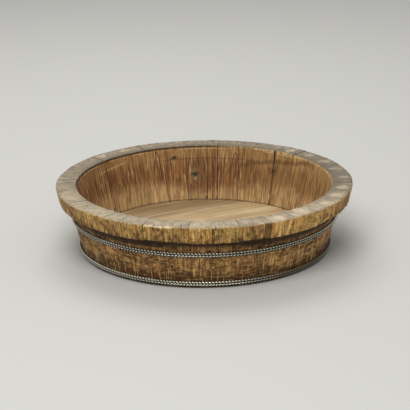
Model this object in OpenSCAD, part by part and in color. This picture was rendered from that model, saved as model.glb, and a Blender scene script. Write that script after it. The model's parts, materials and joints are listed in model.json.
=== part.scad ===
// Round coopered washing tub: upright wooden staves with thick heads that form the rim,
// a boarded floor let into a groove, and two hoops of twisted wire.
// Millimetres, +Z up, origin on the ground at the tub's axis.

/* [Tub] */
// Radius of the rim's outer edge at its top
rim_r = 380; // [340:5:440]
// Height from the ground to the top of the rim
tub_h = 174; // [155:1:210]
// Lean of the walls from upright, in degrees
lean = 12; // [8:0.5:15]

/* [Rim] */
// Width of the rim's flat top
rim_w = 52; // [46:1:60]
// Height of the rim's outer face
rim_h = 43; // [32:1:54]
// Chamfer along the rim's edges
rim_chamfer = 2; // [1:0.5:5]

/* [Wall] */
// Thickness of the wall below the rim, measured level
wall_t = 26; // [22:1:32]
// Chamfer along the foot of the wall
foot_chamfer = 2; // [1:0.5:4]

/* [Floor] */
// Thickness of the floor boards
floor_t = 18; // [14:1:24]
// Height of the floor boards' underside above the ground
floor_rise = 7; // [4:1:14]
// Depth of the groove in the staves that holds the floor's edge
croze_depth = 8; // [5:0.5:11]
// Height of that groove at its bottom, and of the floor's bevelled edge
croze_tip = 10; // [6:0.5:13]
// Width of the board in the middle of the floor; those beside it share the rest
board_w = 124; // [90:1:140]
// Distance of the middle board from the tub's axis
board_shift = 8; // [-30:1:30]
// Direction of the boards from the X axis, in degrees
board_turn = 29; // [-90:1:90]

/* [Hoops] */
// Diameter of each wire rope
rope_d = 6; // [4:0.5:9]
// Drop from the rim's underside to the middle of the upper hoop
upper_hoop_drop = 40; // [14:1:60]
// Height of the middle of the lower hoop above the ground
lower_hoop_rise = 12; // [10:1:30]

/* [Pins] */
// Diameter of the bamboo pins
pin_d = 6; // [4:0.5:8]
// Length of the pins between two staves
stave_pin_l = 20; // [12:1:24]
// Height of the lower row of stave pins above the floor
pin_low_rise = 25; // [10:1:45]
// Drop from the rim's underside to the upper row of stave pins
pin_high_drop = 18; // [8:1:40]
// Length of the pins between two floor boards
board_pin_l = 40; // [20:1:60]
// Distance between the pins along a floor joint
board_pin_pitch = 150; // [80:5:170]

/* [Fits] */
// Gap between the floor's edge and the bottom of its groove
croze_gap = 0.2; // [0.1:0.05:0.5]
// Gap between a rope and the wall that it grips
hoop_gap = 0.2; // [0.1:0.05:0.5]
// Gap between the two ropes of a hoop
rope_gap = 0.2; // [0.1:0.05:0.5]
// Gap round a pin in its hole
pin_gap = 0.05; // [0.02:0.01:0.2]
// Room left past each end of a pin
pin_end_gap = 0.5; // [0.2:0.1:2]

/* [Hidden] */
$fn = 96;

// Widths of the staves at the rim, in order clockwise from above. They share out the full turn.
stave_w = [
    66, 100, 73, 65, 69, 34, 98, 100, 73, 80, 66,
    83, 93, 70, 86, 83, 88, 65, 17, 63, 68, 54,
    39, 74, 113, 76, 66, 76, 63, 73, 76, 66, 73
];
stave_count = len(stave_w);
// The narrow stave that was driven in last and closes the ring, so it has no pins
closing_index = 18;
// Direction of the joint before the first stave, in degrees
first_joint_turn = 144.5;

// Boards on each side of the middle one
side_boards = 2;
board_count = 2 * side_boards + 1;
board_pins_each = 3;

// Levels
under_rim_z = tub_h - rim_h;
floor_under_z = floor_rise;
floor_top_z = floor_rise + floor_t;
upper_hoop_z = under_rim_z - upper_hoop_drop;
lower_hoop_z = lower_hoop_rise;
stave_pin_heights = [floor_top_z + pin_low_rise, under_rim_z - pin_high_drop];
board_pin_z = floor_under_z + floor_t / 2;

// Radii at a height: the rim's face, the wall's inside, its outside and its middle
function rim_at(z) = rim_r - (tub_h - z) * tan(lean);
function inside_at(z) = rim_at(z) - rim_w;
function outside_at(z) = inside_at(z) + wall_t;
function middle_at(z) = inside_at(z) + wall_t / 2;

croze_r = inside_at(floor_top_z) + croze_depth;
floor_r = croze_r - croze_gap;

// Width of the staves before stave n, and the direction of the joint there
function width_before(n) = n == 0 ? 0 : stave_w[n - 1] + width_before(n - 1);
function joint_turn(n) = first_joint_turn - 360 * width_before(n) / width_before(stave_count);
function joint_is_pinned(n) = n % stave_count != closing_index && n % stave_count != closing_index + 1;

// Distance from the axis to the edge before floor board n, square to the boards
function board_edge(n) =
    n <= side_boards ?
    -floor_r + n / side_boards * (floor_r + board_shift - board_w / 2) :
    floor_r - (board_count - n) / side_boards * (floor_r - board_shift - board_w / 2);

function two_digits(n) = n < 10 ? str("0", n) : str(n);
function stave_name(n) = n == closing_index ? "closing_stave" : str("stave_", two_digits(n + 1));
function board_name(n) = str("floor_board_", n + 1);

// Section of a stave: foot, outside, rim head, inside and the groove for the floor
stave_section = [
    [inside_at(0) + foot_chamfer, 0],
    [outside_at(0) - foot_chamfer, 0],
    [outside_at(foot_chamfer), foot_chamfer],
    [outside_at(under_rim_z), under_rim_z],
    [rim_at(under_rim_z) - rim_chamfer, under_rim_z],
    [rim_at(under_rim_z + rim_chamfer), under_rim_z + rim_chamfer],
    [rim_at(tub_h - rim_chamfer), tub_h - rim_chamfer],
    [rim_at(tub_h) - rim_chamfer, tub_h],
    [inside_at(tub_h) + rim_chamfer, tub_h],
    [inside_at(tub_h - rim_chamfer), tub_h - rim_chamfer],
    [inside_at(floor_top_z), floor_top_z],
    [croze_r, floor_top_z],
    [croze_r, floor_top_z - croze_tip],
    [inside_at(floor_under_z), floor_under_z],
    [inside_at(foot_chamfer), foot_chamfer]
];

// Half section of the floor, with its underside bevelled to enter the groove
floor_section = [
    [0, floor_under_z],
    [inside_at(floor_under_z) - croze_gap, floor_under_z],
    [floor_r, floor_top_z - croze_tip],
    [floor_r, floor_top_z],
    [0, floor_top_z]
];

// Cylinders across the joint before stave n, one at each pin height
module across_stave_joint(n, d, l) {
    rotate([0, 0, joint_turn(n)])
        for (z = stave_pin_heights)
            translate([middle_at(z), 0, z])
                rotate([90, 0, 0])
                    cylinder(d = d, h = l, center = true);
}

// Cylinders across the joint before floor board n, in the boards' own direction
module across_board_joint(n, d, l) {
    for (i = [0 : board_pins_each - 1])
        translate([(i - (board_pins_each - 1) / 2) * board_pin_pitch, board_edge(n), board_pin_z])
            rotate([90, 0, 0])
                cylinder(d = d, h = l, center = true);
}

module stave(n) {
    color([0.62, 0.46, 0.26])
        difference() {
            rotate([0, 0, joint_turn(n + 1)])
                rotate_extrude(angle = joint_turn(n) - joint_turn(n + 1))
                    polygon(stave_section);
            for (j = [n, n + 1])
                if (joint_is_pinned(j))
                    across_stave_joint(j, pin_d + 2 * pin_gap, stave_pin_l + 2 * pin_end_gap);
        }
}

module floor_board(n) {
    color([0.72, 0.60, 0.42])
        rotate([0, 0, board_turn])
            difference() {
                intersection() {
                    rotate_extrude()
                        polygon(floor_section);
                    translate([-floor_r, board_edge(n), floor_under_z])
                        cube([2 * floor_r, board_edge(n + 1) - board_edge(n), floor_t]);
                }
                for (j = [n, n + 1])
                    if (j > 0 && j < board_count)
                        across_board_joint(j, pin_d + 2 * pin_gap, board_pin_l + 2 * pin_end_gap);
            }
}

// One wire rope round the wall. side is 1 for a hoop's top rope and -1 for its low rope.
module hoop_rope(hoop_z, side) {
    up_wall = side * (rope_d + rope_gap) / 2;
    off_wall = rope_d / 2 + hoop_gap;
    color([0.55, 0.56, 0.52])
        rotate_extrude()
            translate([
                outside_at(hoop_z) + up_wall * sin(lean) + off_wall * cos(lean),
                hoop_z + up_wall * cos(lean) - off_wall * sin(lean)
            ])
                circle(d = rope_d);
}

module stave_pins() {
    color([0.78, 0.68, 0.44])
        for (n = [0 : stave_count - 1])
            if (joint_is_pinned(n))
                across_stave_joint(n, pin_d, stave_pin_l);
}

module floor_pins() {
    color([0.78, 0.68, 0.44])
        rotate([0, 0, board_turn])
            for (n = [1 : board_count - 1])
                across_board_joint(n, pin_d, board_pin_l);
}

for (n = [0 : stave_count - 1])
    stave(n);
for (n = [0 : board_count - 1])
    floor_board(n);
hoop_rope(upper_hoop_z, 1);  // upper_hoop_top_rope
hoop_rope(upper_hoop_z, -1);  // upper_hoop_low_rope
hoop_rope(lower_hoop_z, 1);  // lower_hoop_top_rope
hoop_rope(lower_hoop_z, -1);  // lower_hoop_low_rope
stave_pins();
floor_pins();
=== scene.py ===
"""A coopered washing tub: weathered staves, a boarded floor and hoops of twisted wire."""

import json
import math
import random
from collections import namedtuple

import bmesh
import bpy
from bpy.props import FloatProperty, FloatVectorProperty, IntProperty, PointerProperty
from bpy.types import Operator, Panel, PropertyGroup
from mathutils import Matrix, Vector, noise


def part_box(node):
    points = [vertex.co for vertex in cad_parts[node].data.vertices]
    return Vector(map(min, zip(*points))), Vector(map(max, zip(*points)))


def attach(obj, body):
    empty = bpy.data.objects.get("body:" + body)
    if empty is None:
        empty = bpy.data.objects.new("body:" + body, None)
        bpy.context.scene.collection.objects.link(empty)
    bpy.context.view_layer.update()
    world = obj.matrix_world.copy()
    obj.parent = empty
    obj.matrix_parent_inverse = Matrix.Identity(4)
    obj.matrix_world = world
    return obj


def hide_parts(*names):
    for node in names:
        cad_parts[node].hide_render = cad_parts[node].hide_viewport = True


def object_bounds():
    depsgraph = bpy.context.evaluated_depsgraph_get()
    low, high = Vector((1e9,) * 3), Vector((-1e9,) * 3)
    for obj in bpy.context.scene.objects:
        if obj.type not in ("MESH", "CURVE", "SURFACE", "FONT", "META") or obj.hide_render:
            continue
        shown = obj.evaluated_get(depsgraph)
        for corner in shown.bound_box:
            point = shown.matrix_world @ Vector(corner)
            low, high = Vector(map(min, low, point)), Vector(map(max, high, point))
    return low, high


bl_info = {
    "name": "Washing Tub",
    "version": (1, 0, 0),
    "blender": (4, 5, 0),
    "location": "3D View > Sidebar > Tub",
    "description": "Builds a coopered wooden washing tub with wire hoops on its frame",
    "category": "Add Mesh",
}

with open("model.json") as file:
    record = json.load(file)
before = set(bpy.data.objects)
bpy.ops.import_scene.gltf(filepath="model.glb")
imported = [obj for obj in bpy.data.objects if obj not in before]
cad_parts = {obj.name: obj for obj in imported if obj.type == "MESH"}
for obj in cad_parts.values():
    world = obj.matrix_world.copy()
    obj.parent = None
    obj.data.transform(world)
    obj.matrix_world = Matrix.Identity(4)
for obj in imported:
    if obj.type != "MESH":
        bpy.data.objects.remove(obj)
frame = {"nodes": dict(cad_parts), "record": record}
CAD_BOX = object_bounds()
MM = 0.001

# The picture's side and the camera's focal length are in pixels, the rest in metres and radians.
PICTURE_SIDE = 410
CAMERA_FOCUS = 1500
CAMERA_PLACE = (0.00136, -3.682, 1.308)
CAMERA_PITCH = 0.3157
CAMERA_ROLL = -0.013
# Each lamp's name, place, diameter and power in watts
LAMPS = (
    ("key_lamp", (-0.6, -2.4, 3.5), 2.6, 90),
    ("back_lamp", (-0.4, 1.9, 3.3), 2.6, 50),
)
# Strength of the sky's even light, and how far the ground reaches
SKY = 0.45
GROUND_REACH = 40.0


def nodes_of(slot):
    """Names of the frame's nodes that take the finish of one material slot, in the record's order."""
    return [part["node"] for part in frame["record"]["subparts"] if part["material_slot"] == slot]


STAVES = nodes_of("stave_wood")
BOARDS = nodes_of("floor_wood")
ROPES = nodes_of("hoop_wire")
PINS = nodes_of("pin_bamboo")

# Least and most that chance opens a joint between staves
TIGHT_JOINTS = (0.05, 0.45)
# How far the joint before a stave, clockwise from above, has opened where chance doesn't say
OPEN_JOINTS = {
    "stave_01": 1.7,
    "stave_04": 0.6,
    "stave_06": 0.6,
    "stave_07": 1.0,
    "stave_09": 1.6,
    "stave_17": 0.8,
    "closing_stave": 1.0,
    "stave_20": 1.0,
    "stave_23": 1.2,
    "stave_25": 0.8,
}
# How pale the worn spot on a stave's head is; most have none
WORN_HEADS = {"stave_01": 0.6, "stave_02": 0.6, "stave_03": 0.5, **dict.fromkeys(STAVES[8:18], 1.0)}
# The stave whose outer rim edge has split away
SPLIT_HEAD = "stave_24"
# Traits of a stave that the eye picks out; chance gives the others
TRAITS = {
    "closing_stave": {"tone": -2.7},
    "stave_18": {"tone": 0.9},
    "stave_22": {"tone": 1.1},
    "stave_23": {"tone": -0.9},
    "stave_24": {"tone": -0.5},
    "stave_01": {"spot_long": 28 * MM, "spot_wide": 46 * MM},
    "stave_02": {"spot_long": 28 * MM, "spot_wide": 46 * MM},
    "stave_03": {"spot_wide": 40 * MM, "peak": (-1 * MM, 164 * MM, 0.041)},
    "stave_07": {"peak": (-8.5 * MM, 155 * MM, 0.051)},
    "stave_17": {"check": 4 * MM, "check_slant": 1.1, "check_reach": 42 * MM},
}
# Floor boards that are darker than chance would make them
BOARD_TONES = {"floor_board_5": -0.9}
# Knots and dark spots on the inside of a stave: place across it from its middle, height, radius,
# darkness, and strength of the grey halo
KNOTS = {
    "stave_04": ((8 * MM, 143 * MM, 5 * MM, 0.9, 0.0), (2 * MM, 68 * MM, 4 * MM, 0.4, 0.5)),
    "stave_05": ((6 * MM, 95 * MM, 6 * MM, 1.0, 1.0), (-28 * MM, 31 * MM, 4 * MM, 0.9, 0.0)),
    "stave_08": ((-40 * MM, 118 * MM, 8 * MM, 0.7, 0.0),),
    "stave_09": ((29 * MM, 118 * MM, 8 * MM, 0.7, 0.0),),
}


def linear(red, green, blue):
    """A colour given in screen values from 0 to 255, as the scene's linear colour."""
    return tuple(((c / 255 + 0.055) / 1.055) ** 2.4 for c in (red, green, blue))


def length(label, about, default):
    """A size in metres that the user can change."""
    return FloatProperty(
        name=label, description=about, default=default, min=0, unit="LENGTH", precision=4
    )


def angle(label, about, degrees):
    """An angle that the user can change."""
    return FloatProperty(name=label, description=about, default=math.radians(degrees), subtype="ANGLE")


def count(label, about, default):
    """A whole number that the user can change."""
    return IntProperty(name=label, description=about, default=default, min=1, max=32)


def colour(label, about, *screen):
    """A colour that the user can change."""
    return FloatVectorProperty(
        name=label, description=about, default=linear(*screen), size=3, min=0, max=1, subtype="COLOR"
    )


class TubSizes(PropertyGroup):
    """Sizes of the tub's pieces"""

    rim_radius: length("Rim radius", "Radius of the rim's outer edge", 380 * MM)
    height: length("Height", "Height of the rim's top above the ground", CAD_BOX[1].z)
    lean: angle("Lean", "Lean of the wall from upright", 12)
    rim_width: length("Rim width", "Width of the rim's flat top", 52 * MM)
    rim_height: length("Rim height", "Height of the rim's outer face", 43 * MM)
    wall: length("Wall", "Thickness of the wall below the rim, measured level", 26 * MM)
    floor_top: length("Floor top", "Height of the floor inside the tub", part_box(BOARDS[0])[1].z)
    floor_low: length("Floor underside", "Height of the floor's underside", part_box(BOARDS[0])[0].z)
    groove_depth: length("Groove depth", "Depth of the groove that holds the floor", 8 * MM)
    groove_tip: length("Groove height", "Height of that groove at its bottom", 10 * MM)
    groove_gap: length("Groove gap", "Gap between the floor's edge and its groove", 0.2 * MM)
    edge_round: length("Rim edge", "Rounding of the rim's edges", 3 * MM)
    foot_round: length("Foot edge", "Rounding of the wall's foot", 2 * MM)
    joint_round: length("Joint edge", "Rounding of the edges along each joint", 0.8 * MM)
    wall_step: length("Wall step", "Distance between points along the wall", 4 * MM)
    rim_step: length("Rim step", "Distance between points across and along the rim", 2.5 * MM)
    board_step: length("Board step", "Distance between points on the floor", 20 * MM)
    board_turn: angle("Board direction", "Direction of the floor boards from the X axis", 29)
    chip: length("Chips", "Depth of the chips along the rim's outer edge", 6 * MM)
    uneven: length("Unevenness", "How far the hand-planed wood waves in and out", 0.6 * MM)
    water_line: length("Water line", "Height of the line scribed inside, above the dark wood", 138 * MM)
    scrub_line: length("Scrub line", "Height below which the inside is scrubbed pale", 56 * MM)
    wires: count("Wires", "Wires laid together in a rope", 4)
    wire_sides: count("Wire sides", "Sides of a wire's section", 7)
    twist_steps: count("Twist steps", "Steps in one twist of a rope", 20)
    twist_doublings: count("Doublings", "Doublings of a rope's first twist that fill its ring", 6)


class TubColours(PropertyGroup):
    """Colours of the tub's finishes"""

    inner_gold: colour("Inside, top", "Golden wood near the top of the inside", 190, 153, 96)
    inner_brown: colour("Inside, middle", "Water-darkened wood halfway up the inside", 180, 131, 79)
    inner_pale: colour("Inside, low", "Scrubbed pale wood near the floor", 238, 204, 146)
    inner_dark: colour("Inside, grain", "Dark grain of the inside", 92, 58, 36)
    face_gold: colour("Rim face", "Golden wood of the rim's outer face", 220, 162, 84)
    face_light: colour("Rim face, light", "Rubbed light wood of the rim's outer face", 244, 202, 122)
    face_dark: colour("Rim face, dark", "Dark mottling of the rim's outer face", 80, 47, 18)
    wall_gold: colour("Wall", "Golden brown wood of the wall's outside", 222, 168, 104)
    wall_brown: colour("Wall, brown", "Red-brown stain on the wall's outside", 150, 90, 48)
    wall_dark: colour("Wall, dark", "Stained wood of the wall's outside", 72, 44, 20)
    top_beige: colour("Rim top", "Weathered wood of the rim's top", 182, 165, 136)
    top_grey: colour("Rim top, grey", "Greyed wood of the rim's top", 144, 130, 107)
    top_pale: colour("Rim top, pale", "Pale worn spots on the rim's top", 208, 191, 159)
    top_dark: colour("Rim top, dark", "Dark streaks in the rim's top", 96, 84, 68)
    # Fresh wood also paints the highlight along the rim's outer top edge
    fresh: colour("Fresh wood", "Pale wood where the rim's edge has split", 236, 214, 166)
    # Dirt also paints shade along the left of the inner lip and the shadow just under the rim
    dirt: colour("Dirt", "Dirt in the joints", 40, 28, 18)
    knot: colour("Knot", "Heart of a knot", 40, 48, 40)
    halo: colour("Knot, halo", "Greyed wood round a large knot", 156, 140, 104)
    floor_tan: colour("Floor", "Washed wood of the floor", 190, 162, 118)
    floor_pale: colour("Floor, pale", "Pale wood of the floor", 210, 188, 146)
    floor_brown: colour("Floor, grain", "Brown grain of the floor", 146, 112, 70)
    # The wire colour also paints the highlight on the ropes' bright side, and the dark wire colour also
    # paints their shaded side
    wire: colour("Wire", "Zinc rubbed bright on the wire", 254, 248, 226)
    wire_dark: colour("Wire, dark", "Dark oxide between the wires", 54, 50, 38)
    wire_dull: colour("Wire, dull", "Earth splashed on the lower hoop", 176, 160, 126)
    bamboo: colour("Bamboo", "Bamboo of the pins", 198, 176, 116)
    ground: colour("Ground", "Plain pale floor under the tub", 206, 205, 200)


def rim_at(s, z):
    """Radius of the rim's outer face at a height."""
    return s.rim_radius - (s.height - z) * math.tan(s.lean)


def inside_at(s, z):
    """Radius of the wall's inside at a height."""
    return rim_at(s, z) - s.rim_width


def outside_at(s, z):
    """Radius of the wall's outside at a height."""
    return inside_at(s, z) + s.wall


def under_rim(s):
    """Height of the rim's underside."""
    return s.height - s.rim_height


def between(low, high, *words):
    """A number between two limits that is always the same for the same words."""
    return low + (high - low) * random.Random(" ".join(words)).random()


# Values and node groups that the finishes share


def join(socket, value):
    """Gives a node's socket a number, a colour or a Value."""
    if isinstance(value, Value):
        socket.id_data.links.new(value.socket, socket)
    else:
        socket.default_value = (*value, 1.0) if socket.type == "RGBA" else value


class Value:
    """What a node puts out over a surface. Reckoning with it adds the nodes for that to its tree."""

    def __init__(self, socket):
        self.socket = socket

    def add(self, kind, sockets, **settings):
        """Adds a node beside the value's own."""
        node = self.socket.id_data.nodes.new(kind)
        for name, value in settings.items():
            setattr(node, name, value)
        for name, value in sockets.items():
            join(node.inputs[name], value)
        return node

    def then(self, kind, sockets, output=0, **settings):
        """What a node added so puts out."""
        return Value(self.add(kind, sockets, **settings).outputs[output])

    def math(self, operation, *others):
        return self.then("ShaderNodeMath", dict(enumerate((self, *others))), operation=operation)

    def __mul__(self, other):
        return self.math("MULTIPLY", other)

    def __add__(self, other):
        return self.math("ADD", other)

    def __sub__(self, other):
        return self.math("SUBTRACT", other)

    def __rsub__(self, other):
        return self.then("ShaderNodeMath", {0: other, 1: self}, operation="SUBTRACT")

    def __abs__(self):
        return self.math("ABSOLUTE")

    def stretch(self, *scale):
        return self.then("ShaderNodeVectorMath", {0: self, 1: scale}, operation="MULTIPLY")

    def split(self):
        return [Value(output) for output in self.add("ShaderNodeSeparateXYZ", {0: self}).outputs]

    def step(self, low, high):
        """0 at the low limit, rising smoothly to 1 at the high one. Low may be the greater."""
        sockets = {"Value": self, "From Min": low, "From Max": high}
        return self.then("ShaderNodeMapRange", sockets, interpolation_type="SMOOTHSTEP")

    def line(self, level, width):
        """A mask of a fine line where the value passes a level."""
        return 1 - abs(self - level).step(0.3 * width, width)

    def noise(self, scale=1.0, detail=3.0, rough=0.55):
        sockets = {"Vector": self, "Scale": scale, "Detail": detail, "Roughness": rough}
        return self.then("ShaderNodeTexNoise", sockets)

    def mix(self, first, second):
        """The first colour where the value is 0, the second where it is 1."""
        return self.then("ShaderNodeMix", {0: self, 6: first, 7: second}, 2, data_type="RGBA")

    def coats(self, *coats):
        """A shade with colours laid over it in turn. A coat is its mask, its amount and its colour."""
        shade = self
        for mask, amount, rgb in coats:
            shade = (mask * amount).mix(shade, rgb)
        return shade

    def mark(self, name, output="Fac"):
        """What the piece's points hold under a name."""
        return self.then("ShaderNodeAttribute", {}, output, attribute_name=name)

    def group(self, name, **sockets):
        """What a shared node group puts out."""
        if name not in bpy.data.node_groups:
            GROUPS[name]()
        inputs = {label.capitalize(): value for label, value in sockets.items()}
        node = self.add("ShaderNodeGroup", inputs, node_tree=bpy.data.node_groups[name])
        return [Value(output) for output in node.outputs]


def new_group(name, inputs, outputs):
    """A shader node group's inputs as Values, and the sockets of its outputs.

    All are numbers, but for an input named Position.
    """
    tree = bpy.data.node_groups.new(name, "ShaderNodeTree")
    for label in inputs:
        kind = "NodeSocketVector" if label == "Position" else "NodeSocketFloat"
        tree.interface.new_socket(label, in_out="INPUT", socket_type=kind)
    for label in outputs:
        tree.interface.new_socket(label, in_out="OUTPUT", socket_type="NodeSocketFloat")
    start = tree.nodes.new("NodeGroupInput").outputs
    end = tree.nodes.new("NodeGroupOutput").inputs
    return [Value(start[label]) for label in inputs], [end[label] for label in outputs]


# Patterns in wood: scale across and along the grain, and the two noise levels that bound each
GRAIN = {
    "Streak": (190, 11, 0.37, 0.63),
    "Fibre": (330, 16, 0.38, 0.62),
    "Line": (280, 6, 0.57, 0.65),
    "Dash": (280, 18, 0.59, 0.66),
    "Fine": (900, 24, 0.36, 0.64),
}
# Growth of the tree in a year
RING_GAP = 8 * MM


def make_grain_group():
    """Wood along a board. Position is across, in from the face, and along, in metres.

    Arch is how far the tree's rings rise towards the face there, which draws arches on it.
    """
    (place, arch), ends = new_group("Wood grain", ["Position", "Arch"], [*GRAIN, "Rings"])
    for end, (across, along, low, high) in zip(ends, GRAIN.values()):
        join(end, place.stretch(across, across, along).noise(detail=2.0).step(low, high))
    across, deep, _ = place.split()
    raised = deep + arch
    out = (across * across + raised * raised).math("SQRT")
    wander = place.stretch(60, 60, 7).noise(detail=2.0)
    join(ends[-1], (out * (1 / RING_GAP) + wander).math("FRACT").math("POWER", 3.0))


def make_dirt_group():
    """Dirt along a joint, from the distance to it and how far it has opened."""
    labels = ["Distance", "Opening", "Ragged"]
    (distance, opening, ragged), (mask,) = new_group("Joint dirt", labels, ["Mask"])
    reach = (opening * (2.4 * MM) + 0.5 * MM) * (ragged * 1.2 + 0.4)
    join(mask, (1 - distance.step(0.0, reach)) * (opening * 0.7 + 0.25))


def make_band_group():
    """A level above which a finish starts, made ragged along the grain."""
    labels = ["Height", "Level", "Soft", "Streak", "Ragged"]
    (height, level, soft, streak, ragged), (mask,) = new_group("Ragged band", labels, ["Mask"])
    join(mask, (height + (streak - 0.5) * ragged).step(level - soft, level + soft))


GROUPS = {
    "Wood grain": make_grain_group,
    "Joint dirt": make_dirt_group,
    "Ragged band": make_band_group,
}

# Finishes

# Specular level of most finishes, and of dry wood
SHINE = 0.5
DULL_WOOD = 0.25
# How much of a finish's fine relief shows
RELIEF = 0.6
GROUND_ROUGHNESS = 0.9
# Share of the bamboo's colour that its dark fibres keep
DARK_BAMBOO = 0.55


def shader_of(material):
    """The inputs of a material's shader."""
    return material.node_tree.nodes["Principled BSDF"].inputs


def new_finish(name, shine=SHINE):
    """A material, and the place of a point in the tub."""
    material = bpy.data.materials.new(name)
    material.use_nodes = True
    join(shader_of(material)["Specular IOR Level"], shine)
    return material, Value(material.node_tree.nodes.new("ShaderNodeTexCoord").outputs["Object"])


def set_surface(material, shade, roughness, relief, depth):
    """Joins a finish's colour, roughness and fine relief to its shader."""
    shader = shader_of(material)
    join(shader["Base Color"], shade)
    join(shader["Roughness"], roughness)
    bump = {"Strength": RELIEF, "Distance": depth, "Height": relief}
    join(shader["Normal"], shade.then("ShaderNodeBump", bump))
    return material


def grained(place):
    """The patterns of a stave's own wood."""
    return place.group("Wood grain", position=place.mark("grain", "Vector"), arch=place.mark("arch"))


def above(height, level, soft, streak, ragged):
    """A mask of what lies above a level, whose edge is ragged along the grain."""
    sockets = {"level": level, "soft": soft, "streak": streak, "ragged": ragged}
    return height.group("Ragged band", height=height, **sockets)[0]


def toned(shade, spread):
    """A shade with the piece's own lightness, so that neighbours differ."""
    value = shade.mark("tone") * spread + 1.0
    return shade.then("ShaderNodeHueSaturation", {"Color": shade, "Value": value})


def soiled(c, shade, ragged, share):
    """A shade with dirt along the piece's joints, for a share of how far they have opened."""
    sockets = {"distance": shade.mark("joint"), "opening": shade.mark("opening") * share}
    return shade.group("Joint dirt", ragged=ragged, **sockets)[0].mix(shade, c.dirt)


def checked(c, shade, ragged):
    """A shade with the stave's one long check, a fine dark split."""
    share = shade.mark("check_width")
    width = share * (1.3 * MM) + 0.01 * MM
    away = abs(ragged * (3 * MM) + shade.mark("check") - 1.5 * MM)
    return shade.coats(((1 - away.step(width * 0.4, width)) * share, 0.9, c.dirt))


def make_inner_wood(s, c):
    """Inside of the wall: golden at the top, brown where water stood, scrubbed pale at the floor."""
    material, place = new_finish("inside_wood", DULL_WOOD)
    x, _, height = place.split()
    # Place across the tub, from -1 at the rim's left to 1 at its right
    aside = x * (1 / s.rim_radius)
    streak, fibre, line, dash, fine, rings = grained(place)
    patch = place.noise(9.0, 4.0, 0.6) - 0.5
    level = patch * (50 * MM) + (s.water_line - 4 * MM)
    top = above(height, level, 16 * MM, streak, 14 * MM)
    # The scrubbed wood reaches higher towards the sides
    far = abs(aside).step(0.2, 0.55)
    level = far * (24 * MM) + patch * (60 * MM) + s.scrub_line
    low = above(height, level, 20 * MM, streak, 16 * MM)
    light = top.mix(low.mix(c.inner_pale, c.inner_brown), c.inner_gold)
    dark = top.mix(low.mix(c.inner_brown, c.inner_dark), c.inner_brown)
    shade = (fibre * 0.35 + streak * 0.45 + 0.2).mix(dark, light)
    blotch = place.stretch(1, 1, 0.6).noise(45.0, 3.0, 0.6)
    shade = shade.coats(
        (rings, 0.3, c.inner_dark),
        # Painted shade darkens the far left of the inside; the right above the scrubbed wood is made
        # lighter
        (aside.step(-0.6, -0.85), 0.45, c.inner_dark),
        (aside.step(0.1, 0.6) * low, 0.4, c.inner_gold),
        (blotch.step(0.48, 0.68), 0.35, c.inner_dark),
        ((1 - fibre) * (low * 0.5 + 0.5), 0.25, c.inner_dark),
        (line, 0.65, c.inner_dark),
        (dash, 0.55, c.inner_pale),
        (1 - fine, 0.25, c.inner_dark),
    )
    # Where the saw cut a growth ring flat, it stands as a pointed arch
    peak = abs(place.mark("peak")).step(2.2 * MM, 0.7 * MM) * height.step(60 * MM, 100 * MM)
    # Painted shade darkens the lip on the left; on the right it is worn pale with a painted highlight
    # on its rounded edge, and the pale line at its foot is a painted highlight
    right = aside.step(-0.1, 0.5)
    lip_foot = s.height - 9 * MM
    lip = height.step(lip_foot, s.height - 4 * MM)
    rubbed = height.line(lip_foot, 1.6 * MM) * patch.step(-0.08, 0.05)
    scratch = (x * -0.12 + height).line(s.height + 2 * MM, 1.4 * MM)
    scratch = scratch * x.step(-290 * MM, -260 * MM) * x.step(-210 * MM, -220 * MM)
    halo = place.noise(110.0) * 0.9 + place.mark("halo")
    knot = place.noise(150.0) * 0.9 + place.mark("knot")
    scribed = height.line(s.water_line, 1.3 * MM) * (1 - far)
    # Water that stood in the tilted tub has left a dark tide mark on the right
    tide = x * -0.2 + height + streak * (5 * MM) + patch * (20 * MM)
    tide = tide.line(s.water_line - 32 * MM, 8 * MM) * aside.step(0.1, 0.4) * aside.step(0.8, 0.7)
    seam = 1 - height.step(s.floor_top, s.floor_top + 4 * MM)
    shade = toned(shade, 0.14).coats(
        (peak, 0.85, c.inner_dark),
        (lip * (1 - right), 0.9, c.dirt),
        (lip * right * streak, 0.7, c.inner_pale),
        (rubbed, 0.5, c.inner_pale),
        (scratch, 0.7, c.inner_pale),
        (halo.step(0.6, 1.2), 0.75, c.halo),
        (knot.step(0.55, 1.0), 0.6, c.inner_dark),
        (knot.step(0.9, 1.2), 0.9, c.knot),
        (scribed, 0.6, c.dirt),
        (tide, 0.55, c.inner_dark),
        (seam, 0.75, c.dirt),
    )
    shade = soiled(c, shade, streak, 1.0)
    return set_surface(material, shade, fibre * -0.15 + 0.78, fine * 0.4 + fibre - rings, 0.6 * MM)


def make_face_wood(s, c):
    """Outer face of the rim: golden, mottled dark, with specks, light worn places and a painted
    highlight along its top edge.
    """
    material, place = new_finish("rim_face_wood", DULL_WOOD)
    height = place.split()[2]
    streak, fibre, line, dash, fine, rings = grained(place)
    mottle = place.stretch(1, 1, 0.7).noise(75.0, 5.0, 0.7)
    speck = place.stretch(1, 1, 1.6).noise(150.0, 2.0).step(0.59, 0.67)
    # The mottling is heavier low on the face
    low = 1 - height.step(under_rim(s), s.height)
    weight = place.noise(13.0, 2.0) * 0.5 + low * 0.1 + mottle
    shade = streak.mix(c.face_gold, c.face_light).coats(
        (rings, 0.4, c.face_dark),
        (weight.step(0.74, 0.96), 0.82, c.face_dark),
        (speck, 0.8, c.dirt),
        (1 - fibre, 0.4, c.face_dark),
        (line, 0.5, c.face_dark),
        (dash, 0.6, c.face_light),
        (1 - fine, 0.25, c.face_dark),
    )
    shade = toned(shade, 0.24).coats(
        (place.mark("fresh").step(0.1, 0.5) * streak, 0.75, c.fresh),
        # Painted highlight along the rim's outer top edge, in the colour of fresh wood
        (place.mark("edge") * mottle.step(0.44, 0.54), 0.95, c.fresh),
    )
    shade = soiled(c, checked(c, shade, fibre), streak, 0.7)
    return set_surface(material, shade, mottle * 0.3 + 0.5, fine * 0.4 + fibre - speck, 0.8 * MM)


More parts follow.
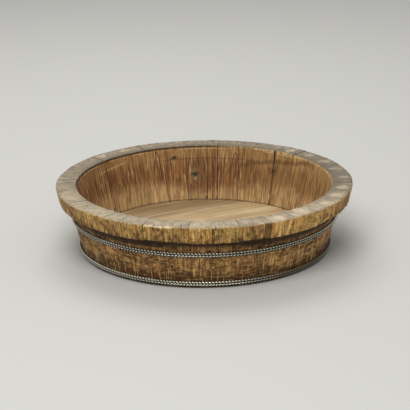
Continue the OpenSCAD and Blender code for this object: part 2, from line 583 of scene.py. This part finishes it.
def make_wall_wood(s, c):
    """Outside of the wall: golden brown, stained along the hoops and towards the ground, with painted
    shadow under the rim.
    """
    material, place = new_finish("wall_wood", DULL_WOOD)
    x, _, height = place.split()
    streak, fibre, line, dash, fine, rings = grained(place)
    stain = place.stretch(1, 1, 2.5).noise(14.0, 4.0, 0.62)
    mottle = place.stretch(1, 1, 1.3).noise(85.0, 4.0, 0.7)
    scrape = place.stretch(30, 30, 260).noise()
    rust = place.stretch(1, 1, 1.4).noise(32.0, 3.0, 0.6)
    low = 1 - height.step(20 * MM, 55 * MM)
    weight = low * 0.25 + mottle * 0.9 + stain
    shade = (streak * 0.5 + 0.5).mix(c.wall_dark, c.wall_gold).coats(
        (rings, 0.3, c.wall_dark),
        (rust.step(0.46, 0.6), 0.55, c.wall_brown),
        (weight.step(0.88, 1.16), 0.9, c.wall_dark),
        (scrape.step(0.52, 0.62), 0.5, c.wall_dark),
        (scrape.step(0.44, 0.36), 0.35, c.face_light),
        (mottle.step(0.5, 0.36) * (1 - low), 0.5, c.face_light),
        (1 - fibre, 0.25, c.wall_dark),
        (line, 0.6, c.wall_dark),
        (dash, 0.65, c.face_light),
        (1 - fine, 0.25, c.wall_dark),
    )
    # Under the rim: a ragged stain that also stands as painted shade, and a dark painted shadow just
    # below the rim's underside; both reach lower at the sides
    raised = abs(x).step(0.1 * s.rim_radius, 0.5 * s.rim_radius) * (8 * MM) + height
    level = under_rim(s) - 24 * MM
    shade = toned(shade, 0.1).coats(
        (above(raised, level, 8 * MM, streak, 16 * MM), 0.5, c.wall_dark),
        (raised.step(level, level + 10 * MM), 0.85, c.dirt),
    )
    shade = soiled(c, shade, streak, 0.6)
    return set_surface(material, shade, stain * 0.25 + 0.55, fine * 0.4 + fibre - rings, 0.7 * MM)


def make_top_wood(s, c):
    """Top of the rim: weathered grey end grain with checks across it and pale worn spots."""
    material, place = new_finish("rim_top_wood")
    x, back, _ = place.split()
    grain = place.mark("grain", "Vector")
    rings = grained(place)[-1]
    ray = grain.stretch(200, 34, 10).noise(1.0, 4.0, 0.66)
    blot = grain.stretch(75, 34, 10).noise(1.0, 4.0, 0.66)
    # The back and sides have greyed more, the right most of all, and so has the inner edge
    turned = back * 0.8 + abs(x) * 0.45 + x * 0.12
    grey = turned.step(-100 * MM, 300 * MM) * 0.6 + place.noise(22.0, 4.0, 0.62) * 0.6
    right = x.step(0.5 * s.rim_radius, 0.9 * s.rim_radius) * back.step(-200 * MM, 0.0)
    flat = place.stretch(1, 1, 0)
    radius = flat.then("ShaderNodeVectorMath", {0: flat}, "Value", operation="LENGTH")
    inner_edge = inside_at(s, s.height)
    inner = 1 - ((blot - 0.5) * (60 * MM) + radius).step(inner_edge, inner_edge + 26 * MM)
    worn = blot * 1.5 + place.mark("worn")
    speckle = place.noise(85.0, 4.0, 0.7).step(0.5, 0.62) * (grey * 0.8 + 0.1)
    shade = grey.step(0.2, 0.85).mix(c.top_beige, c.top_grey).coats(
        (blot.step(0.46, 0.64), 0.38, c.top_dark),
        (1 - blot.step(0.36, 0.5), 0.4, c.top_pale),
        (worn.step(1.18, 1.42), 0.95, c.top_pale),
        (right, 0.5, c.top_dark),
        (inner, grey * 0.5 + 0.1, c.top_dark),
        (ray.step(0.5, 0.66), 0.3, c.top_dark),
        (rings, 0.15, c.top_dark),
        (speckle, 0.5, c.top_dark),
    )
    fresh = place.mark("fresh").step(0.1, 0.4) * ray.step(0.66, 0.46)
    shade = toned(shade, 0.06).coats((fresh, 0.9, c.fresh))
    shade = soiled(c, checked(c, shade, ray), ray, 0.12)
    return set_surface(material, shade, ray * 0.2 + 0.65, 1 - ray, 0.8 * MM)


def make_floor_wood(c):
    """Floor of the tub: pale, washed smooth, with soft grain along the boards."""
    material, place = new_finish("floor_wood")
    grain = place.mark("grain", "Vector")
    broad = grain.stretch(34, 6, 2.6).noise(1.0, 4.0)
    fine = grain.stretch(190, 20, 7).noise(1.0, 4.0, 0.62)
    cloud = place.noise(6.0, 2.0, 0.5)
    # The boards at the back left have stayed dark
    shaded = (broad * (200 * MM) + grain.split()[0]).step(240 * MM, 360 * MM)
    shade = broad.step(0.36, 0.64).mix(c.floor_tan, c.floor_pale).coats(
        (fine.step(0.46, 0.68), 0.7, c.floor_brown),
        (cloud.step(0.5, 0.75), 0.3, c.floor_brown),
        (shaded, 0.8, c.floor_brown),
        (shaded * fine.step(0.5, 0.4), 0.65, c.floor_pale),
    )
    shade = soiled(c, toned(shade, 0.15), fine, 1.0)
    return set_surface(material, shade, fine * 0.2 + 0.5, 1 - fine, 0.3 * MM)


def make_wire_metal(c):
    """Galvanised wire: bright zinc and painted highlight on the rope's bright side, dark oxide where
    wires meet and painted shade elsewhere.
    """
    material, place = new_finish("hoop_wire_metal")
    x, _, height = place.split()
    spangle = place.noise(160.0, 3.0, 0.6)
    # Painted highlight: white where a wire faces the rope's bright side, dark as oxide and painted
    # shade elsewhere
    bright = (place.noise(14.0, 2.0) * 0.1 + place.mark("rubbed")).step(0.67, 0.83)
    # Splashed earth has dulled the right of the lower hoop
    dull = x.step(80 * MM, 220 * MM) * height.step(40 * MM, 25 * MM)
    shade = bright.mix(c.wire_dark, dull.mix(c.wire, c.wire_dull))
    # The zinc has gone chalky on the left
    bare = x.step(-280 * MM, -80 * MM)
    join(shader_of(material)["Metallic"], bright * bare * 0.9)
    roughness = bright * -0.35 + spangle * 0.2 + 0.55
    return set_surface(material, shade, roughness, spangle, 0.05 * MM)


def make_bamboo(c):
    """Bamboo of the hidden pins."""
    material, place = new_finish("pin_bamboo")
    fibre = place.stretch(1, 1, 3).noise(380.0)
    dark = tuple(DARK_BAMBOO * value for value in c.bamboo)
    shade = fibre.step(0.35, 0.7).mix(dark, c.bamboo)
    return set_surface(material, shade, fibre * 0.2 + 0.5, fibre, 0.1 * MM)


def make_ground(c):
    """Plain pale floor."""
    material, _ = new_finish("plain_ground")
    join(shader_of(material)["Base Color"], c.ground)
    join(shader_of(material)["Roughness"], GROUND_ROUGHNESS)
    return material


# Pieces

# Turn between two faces above which the edge between them stays sharp
SHARP_TURN = math.radians(40)
# Slack in telling which part of a piece a point is on
SLACK = 1 * MM


def finish_piece(name, bm, materials, node, marks):
    """Makes an object that stands for one of the frame's nodes, smooth but for its corners.

    Marks hold one value for each point, a number or a vector, for the materials to read.
    """
    mesh = bpy.data.meshes.new(name)
    bm.to_mesh(mesh)
    bm.free()
    for material in materials:
        mesh.materials.append(material)
    mesh.shade_smooth()
    mesh.set_sharp_from_angle(angle=SHARP_TURN)
    for label, values in marks.items():
        if isinstance(values[0], Vector):
            layer = mesh.attributes.new(label, "FLOAT_VECTOR", "POINT")
            layer.data.foreach_set("vector", [part for value in values for part in value])
        else:
            layer = mesh.attributes.new(label, "FLOAT", "POINT")
            layer.data.foreach_set("value", values)
    piece = bpy.data.objects.new(name, mesh)
    bpy.context.collection.objects.link(piece)
    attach(piece, "root")
    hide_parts(node)


def whole(bm):
    """All of a mesh's points, edges and faces."""
    return bm.verts[:] + bm.edges[:] + bm.faces[:]


def round_off(bm, geom, affect, offset, segments):
    """Rounds the corners or the edges that are given."""
    bmesh.ops.bevel(
        bm, geom=geom, affect=affect, offset=offset, segments=segments, profile=0.5, material=-1
    )


def span_of(node):
    """Directions of a stave's two joints about the tub's axis, anticlockwise."""
    points = [v.co.xy for v in frame["nodes"][node].data.vertices]
    middle = sum(points, Vector((0, 0)))
    heading = math.atan2(middle.y, middle.x)
    turns = [math.atan2(middle.cross(p), middle.dot(p)) for p in points]
    return heading + min(turns), heading + max(turns)


def opening_before(name):
    """How far the joint before a stave, clockwise from above, has opened."""
    return OPEN_JOINTS.get(name, between(*TIGHT_JOINTS, name, "opening"))


class Stave:
    """One stave: where it stands, how its wood grew and how it has worn."""

    def __init__(self, s, number):
        self.name = STAVES[number]
        self.first, self.last = span_of(self.name)
        self.middle = (self.first + self.last) / 2
        self.width = (self.last - self.first) * s.rim_radius
        self.opening_first = opening_before(STAVES[(number + 1) % len(STAVES)])
        self.opening_last = opening_before(self.name)
        self.knots = KNOTS.get(self.name, ())
        self.seed = self.pick(0, 50, "seed")
        self.tone = self.pick(-0.7, 0.7, "tone")
        # The tree's heart behind the stave's inside, and how the stave bows away from it
        self.heart = self.pick(-0.4, 0.4, "heart") * self.width
        self.pith = self.pick(30, 80, "pith") * MM
        self.bow = self.pick(-0.8, 0.8, "bow")
        self.crest = self.pick(20, 160, "crest") * MM
        # A pointed arch on its inside: place across it, height of the point, and spread of its legs
        self.peak = None
        # How far it stands out of line
        self.proud = self.pick(-0.6, 0.6, "proud") * MM
        self.lift = self.pick(-0.9, 0.5, "lift") * MM
        self.drop = self.pick(-1.6, 1.6, "drop") * MM
        # The check in its head runs in from the outside, and has no length in many staves
        self.check = self.pick(-0.35, 0.35, "check") * self.width
        self.check_slant = self.pick(-0.25, 0.25, "slant")
        self.check_reach = max(0.0, self.pick(-30, 45, "reach")) * MM
        # The pale spot on its head
        self.spot = self.pick(0.45, 0.65, "spot") * s.rim_width
        self.spot_aside = self.pick(-6, 6, "aside") * MM
        self.spot_long = self.pick(17, 25, "long") * MM
        self.spot_wide = self.pick(13, 21, "wide") * MM
        for trait, value in TRAITS.get(self.name, {}).items():
            setattr(self, trait, value)

    def pick(self, low, high, purpose):
        return between(low, high, self.name, purpose)


def stave_corners(s):
    """Corners of a stave's section, as radius, height and how far the corner is rounded."""
    top = s.height
    under = under_rim(s)
    groove = inside_at(s, s.floor_top) + s.groove_depth
    return [
        (inside_at(s, 0), 0, s.foot_round),
        (outside_at(s, 0), 0, s.foot_round),
        (outside_at(s, under), under, 0),
        (rim_at(s, under), under, s.foot_round),
        (rim_at(s, top), top, s.edge_round),
        (inside_at(s, top), top, s.edge_round),
        (inside_at(s, s.floor_top), s.floor_top, 0),
        (groove, s.floor_top, 0),
        (groove, s.floor_top - s.groove_tip, 0),
        (inside_at(s, s.floor_low), s.floor_low, 0),
    ]


def split_edges(s, bm):
    """Adds points along a section's edges, closer together on the rim."""
    by_cuts = {}
    for edge in bm.edges:
        on_rim = min(v.co.z for v in edge.verts) > under_rim(s) - SLACK
        cuts = round(edge.calc_length() / (s.rim_step if on_rim else s.wall_step)) - 1
        by_cuts.setdefault(cuts, []).append(edge)
    for cuts, edges in by_cuts.items():
        if cuts > 0:
            bmesh.ops.bisect_edges(bm, edges=edges, cuts=cuts)


def stave_mesh(s, stave):
    """A stave between its joints: its section, rounded, turned about the tub's axis."""
    bm = bmesh.new()
    corners = stave_corners(s)
    ring = [bm.verts.new((radius, 0, height)) for radius, height, _ in corners]
    bm.faces.new(ring)
    for amount in (s.foot_round, s.edge_round):
        picked = [v for v, corner in zip(ring, corners) if corner[2] == amount]
        round_off(bm, picked, "VERTICES", amount, segments=3)
    split_edges(s, bm)
    turned = Matrix.Rotation(stave.first, 3, "Z")
    bmesh.ops.rotate(bm, verts=bm.verts, cent=(0, 0, 0), matrix=turned)
    steps = max(3, round(stave.width / s.rim_step))
    sweep = stave.last - stave.first
    bmesh.ops.spin(bm, geom=whole(bm), cent=(0, 0, 0), axis=(0, 0, 1), angle=sweep, steps=steps)
    bmesh.ops.recalc_face_normals(bm, faces=bm.faces)
    ends = {edge for face in bm.faces if len(face.verts) > 4 for edge in face.edges}
    round_off(bm, list(ends), "EDGES", s.joint_round, segments=2)
    return bm


UP = Vector((0, 0, 1))
# Hand planing: how fine its waves are round the tub and up it, and their share of the depth
PLANING = ((14, 9, 1.0), (70, 40, 0.35))
# Wear of the rim's edges: how much there is all round, then the noise that varies it round the tub,
# each layer with how fine it is, its seed and its share
CHIPS = (-0.2, (11, 5, 0.6), (44, 9, 0.5), (120, 1, 0.3))
SPLIT = (0.36, (30, 2, 0.06), (170, 4, 0.04))
INNER_WEAR = (0.2, (25, 3, 1.0))
LOW_WEAR = (0.0, (30, 7, 1.0))
# How far from the outer edge a chip reaches, and how much farther a deep one does
CHIP_REACH = 3 * MM
DEEP_REACH = 9 * MM
# How far from the other edges rubbing reaches, and how much of them it takes
WEAR_REACH = 7 * MM
WEAR_DEPTH = 2 * MM
# How far up from the rim's underside a head that stands low shows, and how far up the foot is kept
DROP_REACH = 14 * MM
FOOT_REACH = 20 * MM
# Width of the pale line along the rim's outer top edge, a painted highlight
EDGE_REACH = 5 * MM
StavePoint = namedtuple(
    "StavePoint", "move grain arch joint opening worn fresh edge check check_width knot halo peak tone"
)


def wear_at(heading, amount, *layers):
    """Wear of an edge in one direction about the tub's axis, at least 0."""
    for detail, seed, share in layers:
        place = Vector((math.cos(heading) * detail, math.sin(heading) * detail, seed))
        amount += share * noise.noise(place)
    return max(0.0, amount)


def near(distance, reach):
    """1 at no distance, falling smoothly to 0 at the reach."""
    share = max(0.0, 1.0 - distance / reach)
    return share * share * (3 - 2 * share)


def broken(distance, reach):
    """1 where a piece has broken away, falling steeply to 0 at the reach."""
    return max(0.0, min(1.0, (reach - distance) / (0.4 * reach)))


def knots_at(stave, across, height):
    """Darkness and halo of a stave's knots on its inside, and how far they part its grain there."""
    knot = 0.0
    halo = 0.0
    parted = 0.0
    # A knot is wider than it is tall, and its halo taller than it is wide
    for knot_across, knot_height, size, darkness, greyness in stave.knots:
        aside = (across - knot_across) / size
        up = (height - knot_height) / size
        knot = max(knot, darkness * (1.0 - math.hypot(0.8 * aside, 1.2 * up) / 2.5))
        halo = max(halo, greyness * (1.0 - math.hypot(aside, 0.7 * up) / 3.0))
        parted += 0.5 * aside * size * math.exp(-up * up / 24 - aside * aside / 12)
    return knot, halo, parted


def peak_distance(stave, across, height):
    """Distance from the pointed arch that one growth ring draws on a stave, less than 0 within it."""
    place, apex, spread = stave.peak
    below = apex - height
    if below <= 0:
        return math.hypot(across - place, below)
    half = spread * math.sqrt(below)
    return (abs(across - place) - half) / math.hypot(1, half / (2 * below))


def stave_point(s, stave, v):
    """What the wood is like at one point of a stave, and how far hand work and use have moved it."""
    radius = v.co.xy.length
    height = v.co.z
    heading = math.atan2(v.co.y, v.co.x)
    out = Vector((v.co.x / radius, v.co.y / radius, 0))
    turn = (heading - stave.middle + math.pi) % (2 * math.pi) - math.pi
    across = turn * radius
    deep = radius - inside_at(s, height)
    under = under_rim(s)
    from_top = math.hypot(radius - s.rim_radius, height - s.height)
    from_low = math.hypot(radius - rim_at(s, under), height - under)
    from_inner = math.hypot(deep, height - s.height)

    # Hand planing, and staves that stand out of line
    plane = 0.0
    for around, up, share in PLANING:
        plane += share * noise.noise(Vector((heading * around, height * up, stave.seed)))
    move = v.normal * plane * s.uneven + out * stave.proud
    move += UP * stave.lift * max(0.0, height - under) / s.rim_height
    if deep > s.wall + SLACK:
        move += UP * stave.drop * near(abs(height - under), DROP_REACH)

    # Chips and rubbing along the rim's edges
    bite = wear_at(heading, *(SPLIT if stave.name == SPLIT_HEAD else CHIPS))
    gone = bite * broken(from_top, CHIP_REACH + DEEP_REACH * bite)
    move -= (out * 0.55 + UP * 0.75) * gone * s.chip
    rubbed = wear_at(heading, *INNER_WEAR) * near(from_inner, WEAR_REACH)
    move += (out * 0.5 - UP * 0.6) * rubbed * WEAR_DEPTH
    rubbed = wear_at(heading, *LOW_WEAR) * near(from_low, WEAR_REACH)
    move += (UP - out) * rubbed * WEAR_DEPTH

    # The groove and the foot keep their shape
    if height < s.floor_top + SLACK and deep < s.groove_depth + 2 * SLACK:
        move *= 0.0
    move *= min(1.0, height / FOOT_REACH)

    # The wood's own pattern, which parts round the knots on the inside
    on_inside = deep < s.wall / 2
    knot, halo, parted = knots_at(stave, across, height) if on_inside else (0.0, 0.0, 0.0)
    arch = stave.bow * (height - stave.crest) ** 2
    along = height / math.cos(s.lean) + stave.seed
    grain = Vector((across - parted - stave.heart, deep + stave.pith, along))

    # The head's pale spot and its check, and the joint, which has opened unevenly
    spot_in = (deep - stave.spot) / stave.spot_long
    spot = math.hypot(spot_in, (across - stave.spot_aside) / stave.spot_wide)
    worn = WORN_HEADS.get(stave.name, 0.0) * max(0.0, 1.0 - 0.6 * spot)
    check = across - stave.check - stave.check_slant * (deep - s.rim_width / 2)
    inward = max(s.rim_radius - radius, s.height - height)
    check_width = near(inward, stave.check_reach) if stave.check_reach > 0 else 0.0
    joint = ((stave.last - stave.first) / 2 - abs(turn)) * radius
    opening = stave.opening_last if turn > 0 else stave.opening_first
    opening *= 0.8 + 0.7 * noise.noise(Vector((height * 26, 7 * opening, 3)))
    # The edge mark is the painted highlight along the rim's outer top edge
    wear = (joint, opening, worn, gone, near(from_top, EDGE_REACH), check, check_width)
    peak = peak_distance(stave, across, height) if stave.peak else 1.0
    return StavePoint(move, grain, arch, *wear, knot, halo, peak, stave.tone)


TOP, FACE, WALL, INSIDE = range(4)
# How far a face turns up or aside, as a share of 1, to count as the rim's top or as a side
FACES_UP = 0.6
FACES_ASIDE = 0.3


def finish_of(s, face):
    """Which finish a face of a stave has."""
    middle = face.calc_center_median()
    radius = middle.xy.length
    outward = (face.normal.x * middle.x + face.normal.y * middle.y) / radius
    if middle.z > s.height - s.edge_round and face.normal.z > FACES_UP:
        return TOP
    if radius - inside_at(s, middle.z) < s.wall / 2 and outward < -FACES_ASIDE:
        return INSIDE
    return FACE if middle.z > under_rim(s) + SLACK / 2 and outward > FACES_ASIDE else WALL


def build_stave(s, number, finishes):
    """One stave of the wall, with its thick head."""
    stave = Stave(s, number)
    bm = stave_mesh(s, stave)
    bm.normal_update()
    for face in bm.faces:
        face.material_index = finish_of(s, face)
    points = [stave_point(s, stave, v) for v in bm.verts]
    for v, point in zip(bm.verts, points):
        v.co += point.move
    marks = {label: [getattr(point, label) for point in points] for label in StavePoint._fields[1:]}
    finish_piece(stave.name + "_wood", bm, finishes, stave.name, marks)


# Sides of the disc that the floor's boards are cut from
DISC_SIDES = 240
# How far the joints between boards have opened, and how far a board's tone shifts its grain
BOARD_OPENING = 0.3
BOARD_SHIFT = 9


def trim_board(bm, across, sides):
    """Cuts a disc down to a strip and closes it there.

    A side is its place across the disc and the way out of the strip.
    """
    for place, way in sides:
        plane = {"plane_co": across * place, "plane_no": across * way}
        cut = bmesh.ops.bisect_plane(bm, geom=whole(bm), clear_outer=True, **plane)
        edges = [e for e in cut["geom_cut"] if isinstance(e, bmesh.types.BMEdge)]
        bmesh.ops.edgeloop_fill(bm, edges=edges)


def cut_grid(bm, directions, reach, step):
    """Cuts a board's faces into a grid, so that they have points inside them."""
    for direction in directions:
        for number in range(round(-reach / step), round(reach / step) + 1):
            place = direction * number * step
            bmesh.ops.bisect_plane(bm, geom=whole(bm), plane_co=place, plane_no=direction)


def build_board(s, node, finish):
    """One board of the floor: a strip of a disc with a bevelled edge."""
    along = Vector((math.cos(s.board_turn), math.sin(s.board_turn), 0))
    across = Vector((-along.y, along.x, 0))
    rim = inside_at(s, s.floor_top) + s.groove_depth - s.groove_gap
    foot = inside_at(s, s.floor_low) - s.groove_gap
    # The outermost boards have only one straight side
    offsets = [v.co.dot(across) for v in frame["nodes"][node].data.vertices]
    sides = [(min(offsets), -1), (max(offsets), 1)]
    sides = [(place, way) for place, way in sides if abs(place) < rim - s.wall_step]
    bm = bmesh.new()
    bmesh.ops.create_circle(bm, cap_ends=True, radius=rim, segments=DISC_SIDES)
    bmesh.ops.translate(bm, verts=bm.verts, vec=(0, 0, s.floor_top))
    top = bm.faces[:]
    face = top
    for depth, spread in ((s.groove_tip, 1.0), (s.floor_top - s.floor_low - s.groove_tip, foot / rim)):
        grown = bmesh.ops.extrude_face_region(bm, geom=face, use_keep_orig=True)["geom"]
        if face is not top:
            bmesh.ops.delete(bm, geom=face, context="FACES_ONLY")
        points = [v for v in grown if isinstance(v, bmesh.types.BMVert)]
        face = [f for f in grown if isinstance(f, bmesh.types.BMFace)]
        bmesh.ops.translate(bm, verts=points, vec=(0, 0, -depth))
        bmesh.ops.scale(bm, verts=points, vec=(spread, spread, 1))
    trim_board(bm, across, sides)
    bmesh.ops.recalc_face_normals(bm, faces=bm.faces)
    arris = [e for e in bm.edges if all(v.co.z > s.floor_top - SLACK for v in e.verts)]
    round_off(bm, arris, "EDGES", s.joint_round, segments=2)
    cut_grid(bm, (along, across), rim, s.board_step)
    tone = BOARD_TONES.get(node, between(-0.5, 0.5, node, "tone"))
    wall = inside_at(s, s.floor_top)
    marks = {"grain": [], "joint": []}
    for v in bm.verts:
        offset = v.co.dot(across)
        gaps = [abs(offset - place) for place, _ in sides]
        marks["joint"].append(min(*gaps, wall - v.co.xy.length))
        marks["grain"].append(Vector((offset, v.co.z, v.co.dot(along) + BOARD_SHIFT * tone)))
    marks["opening"] = [BOARD_OPENING] * len(bm.verts)
    marks["tone"] = [tone] * len(bm.verts)
    finish_piece(node + "_wood", bm, [finish], node, marks)


# The ropes of a hoop from the top: the hand of the twist, the angle above level that the bright side
# with its painted highlight faces, and how far painted shade dulls that side on the left
ROPE_LAYS = ((-1, math.radians(38), 0.0), (1, math.radians(30), 0.2))
# Share of a twist by which a rope's start is moved on, and how close the points of two twists join
FIRST_TURN = 0.05
MERGE_REACH = 0.05 * MM
# Where the hoops' left and right begin, and over what length they fade in
LEFT_FROM, LEFT_FADE = -200 * MM, 140 * MM
RIGHT_FROM, RIGHT_FADE = 230 * MM, 170 * MM
# How strongly the painted highlight beads along a wire where it stands out, what left and right add to
# that, and how dull the right is
BEADS, BEADS_LEFT, BEADS_RIGHT = 0.24, 0.16, -0.1
RIGHT_DULL = 0.07


def build_rope(s, node, finish, hand, rubbed, oxide_and_shade):
    """A ring of wires laid together: one twist of each wire is doubled along a line, then bent round.

    Wear_and_highlight is the angle above level that the rope's bright side faces, where its highlight
    is painted, and oxide_and_shade is how much painted shade dulls that side on the left.
    """
    low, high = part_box(node)
    thick = high.z - low.z
    reach = (high.x - low.x - thick) / 2
    level = (low.z + high.z) / 2
    share = math.sin(math.pi / s.wires)
    wire = thick / 2 * share / (1 + share)
    lay = wire / share
    twist = 2 * math.pi * reach / 2**s.twist_doublings
    tilt = math.atan2(2 * math.pi * lay, twist)
    start = hand * FIRST_TURN * twist
    bm = bmesh.new()
    for number in range(s.wires):
        ring = bmesh.ops.create_circle(bm, radius=wire, segments=s.wire_sides)["verts"]
        turned = Matrix.Rotation(-hand * tilt, 3, "Z") @ Matrix.Rotation(math.pi / 2, 3, "Y")
        bmesh.ops.rotate(bm, verts=ring, cent=(0, 0, 0), matrix=turned)
        bmesh.ops.translate(bm, verts=ring, vec=(0, 0, lay))
        place = Matrix.Rotation(2 * math.pi * number / s.wires, 3, "X")
        bmesh.ops.rotate(bm, verts=ring, cent=(0, 0, 0), matrix=place)
        edges = list({edge for v in ring for edge in v.link_edges})
        forward = (twist / s.twist_steps, 0, 0)
        bmesh.ops.spin(
            bm, geom=ring + edges, cent=(0, 0, 0), axis=(1, 0, 0), dvec=forward,
            angle=hand * 2 * math.pi, steps=s.twist_steps,
        )
    for number in range(s.twist_doublings):
        copy = bmesh.ops.duplicate(bm, geom=whole(bm))["geom"]
        points = [v for v in copy if isinstance(v, bmesh.types.BMVert)]
        bmesh.ops.translate(bm, verts=points, vec=(twist * 2**number, 0, 0))
    for v in bm.verts:
        heading = (v.co.x + start) / reach
        radius = reach + v.co.y
        v.co = Vector((radius * math.cos(heading), radius * math.sin(heading), level + v.co.z))
    bmesh.ops.remove_doubles(bm, verts=bm.verts, dist=MERGE_REACH)
    bmesh.ops.recalc_face_normals(bm, faces=bm.faces)
    # Painted highlight: a wire is painted brightest where it crosses the rope's bright side, which
    # faces up towards the lamps
    bright = Vector((math.cos(rubbed), math.sin(rubbed))) * 2 / thick
    marks = {"rubbed": []}
    for v in bm.verts:
        offset = Vector((v.co.xy.length - reach, v.co.z - level))
        along = math.atan2(v.co.y, v.co.x) * reach - start
        crossing = hand * 2 * math.pi * along / twist + math.pi / 2 - rubbed
        left = near(max(0.0, v.co.x - LEFT_FROM), LEFT_FADE)
        right = near(max(0.0, RIGHT_FROM - v.co.x), RIGHT_FADE)
        beads = (BEADS + BEADS_LEFT * left + BEADS_RIGHT * right) * math.cos(s.wires * crossing)
        marks["rubbed"].append(bright.dot(offset) + beads - oxide_and_shade * left - RIGHT_DULL * right)
    finish_piece(node + "_wire", bm, [finish], node, marks)


# Operators


class TUB_OT_stage(Operator):
    """Sets the camera, the lamps and the plain ground"""

    bl_idname = "tub.stage"
    bl_label = "Stage"

    def execute(self, context):
        scene = context.scene
        scene.view_settings.view_transform = "Standard"
        self.add_camera(scene)
        for lamp in LAMPS:
            self.add_lamp(scene, *lamp)
        world = bpy.data.worlds.new("soft_sky")
        world.use_nodes = True
        background = world.node_tree.nodes["Background"]
        background.inputs["Color"].default_value = (1, 1, 1, 1)
        background.inputs["Strength"].default_value = SKY
        scene.world = world
        self.add_ground(scene)
        return {"FINISHED"}

    def add_camera(self, scene):
        camera = bpy.data.objects.new("camera", bpy.data.cameras.new("camera"))
        scene.collection.objects.link(camera)
        scene.camera = camera
        camera.data.lens = CAMERA_FOCUS / PICTURE_SIDE * camera.data.sensor_width
        camera.location = CAMERA_PLACE
        aim = Matrix.Rotation(math.pi / 2 - CAMERA_PITCH, 4, "X") @ Matrix.Rotation(CAMERA_ROLL, 4, "Z")
        camera.rotation_euler = aim.to_euler()

    def add_lamp(self, scene, name, place, size, power):
        lamp = bpy.data.lights.new(name, "AREA")
        lamp.shape = "DISK"
        lamp.size = size
        lamp.energy = power
        holder = bpy.data.objects.new(name, lamp)
        scene.collection.objects.link(holder)
        holder.location = place
        holder.rotation_euler = (-Vector(place)).to_track_quat("-Z", "Y").to_euler()

    def add_ground(self, scene):
        bm = bmesh.new()
        bmesh.ops.create_grid(bm, x_segments=1, y_segments=1, size=GROUND_REACH)
        mesh = bpy.data.meshes.new("ground")
        bm.to_mesh(mesh)
        bm.free()
        mesh.materials.append(make_ground(scene.tub_colours))
        ground = bpy.data.objects.new("ground", mesh)
        scene.collection.objects.link(ground)


class TUB_OT_staves(Operator):
    """Makes the staves of the wall and rim"""

    bl_idname = "tub.staves"
    bl_label = "Staves"

    def execute(self, context):
        s = context.scene.tub_sizes
        c = context.scene.tub_colours
        makers = (make_top_wood, make_face_wood, make_wall_wood, make_inner_wood)
        finishes = [make(s, c) for make in makers]
        for number in range(len(STAVES)):
            build_stave(s, number, finishes)
        return {"FINISHED"}


class TUB_OT_floor(Operator):
    """Makes the boards of the floor"""

    bl_idname = "tub.floor"
    bl_label = "Floor boards"

    def execute(self, context):
        s = context.scene.tub_sizes
        finish = make_floor_wood(context.scene.tub_colours)
        for node in BOARDS:
            build_board(s, node, finish)
        return {"FINISHED"}


class TUB_OT_hoops(Operator):
    """Makes the twisted wire ropes of the two hoops"""

    bl_idname = "tub.hoops"
    bl_label = "Hoops"

    def execute(self, context):
        s = context.scene.tub_sizes
        finish = make_wire_metal(context.scene.tub_colours)
        for number, node in enumerate(ROPES):
            build_rope(s, node, finish, *ROPE_LAYS[number % len(ROPE_LAYS)])
        return {"FINISHED"}


class TUB_OT_pins(Operator):
    """Gives the hidden pins their bamboo"""

    bl_idname = "tub.pins"
    bl_label = "Pins"

    def execute(self, context):
        finish = make_bamboo(context.scene.tub_colours)
        for node in PINS:
            materials = frame["nodes"][node].data.materials
            materials.clear()
            materials.append(finish)
        return {"FINISHED"}


OPERATORS = (TUB_OT_stage, TUB_OT_staves, TUB_OT_floor, TUB_OT_hoops, TUB_OT_pins)


class TUB_PT_panel(Panel):
    """Lists the tub's pieces, sizes and colours"""

    bl_idname = "TUB_PT_panel"
    bl_label = "Washing Tub"
    bl_space_type = "VIEW_3D"
    bl_region_type = "UI"
    bl_category = "Tub"

    def draw(self, context):
        for operator in OPERATORS:
            self.layout.operator(operator.bl_idname)
        for name in TubSizes.__annotations__:
            self.layout.prop(context.scene.tub_sizes, name)
        for name in TubColours.__annotations__:
            self.layout.prop(context.scene.tub_colours, name)


CLASSES = (TubSizes, TubColours, *OPERATORS, TUB_PT_panel)


def register():
    for part in CLASSES:
        bpy.utils.register_class(part)
    bpy.types.Scene.tub_sizes = PointerProperty(type=TubSizes)
    bpy.types.Scene.tub_colours = PointerProperty(type=TubColours)


def unregister():
    del bpy.types.Scene.tub_colours
    del bpy.types.Scene.tub_sizes
    for part in reversed(CLASSES):
        bpy.utils.unregister_class(part)


def main():
    register()
    bpy.ops.tub.stage()
    bpy.ops.tub.staves()
    bpy.ops.tub.floor()
    bpy.ops.tub.hoops()
    bpy.ops.tub.pins()


if __name__ == "__main__":
    main()
